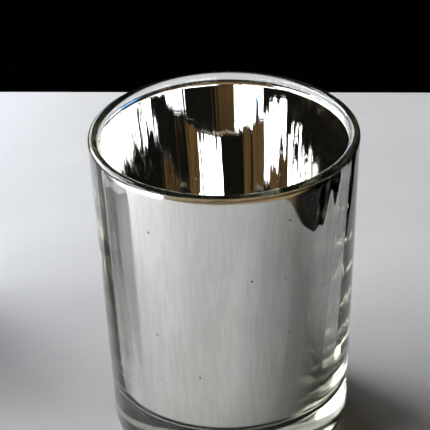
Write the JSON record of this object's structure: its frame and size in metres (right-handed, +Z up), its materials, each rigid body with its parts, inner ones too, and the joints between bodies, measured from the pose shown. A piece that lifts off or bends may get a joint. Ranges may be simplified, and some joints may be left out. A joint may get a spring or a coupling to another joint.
{
  "type": "mirrored glass candle holder",
  "caption": "Tapered clear glass tumbler with a thick base and rounded rim, lined inside with a bright mirror film; open top, empty, ready for wax or a votive.",
  "frame": {"origin": "middle of the flat resting ring under the base, on the surface that the holder stands on", "axes": "+Z up along the axis of the glass, through the middle of the open mouth; X and Y are alike"},
  "size_m": [0.065, 0.065, 0.08],
  "materials": {
    "clear_glass": "clear pressed soda-lime glass, fire-polished rim",
    "mirror_film": "bright vacuum-deposited aluminium film",
    "lacquer": "clear gloss protective lacquer"
  },
  "bodies": {
    "root": {"glass_tumbler": "clear_glass", "mirror_coating": "mirror_film", "clear_lacquer": "lacquer"}
  },
  "joints": []
}
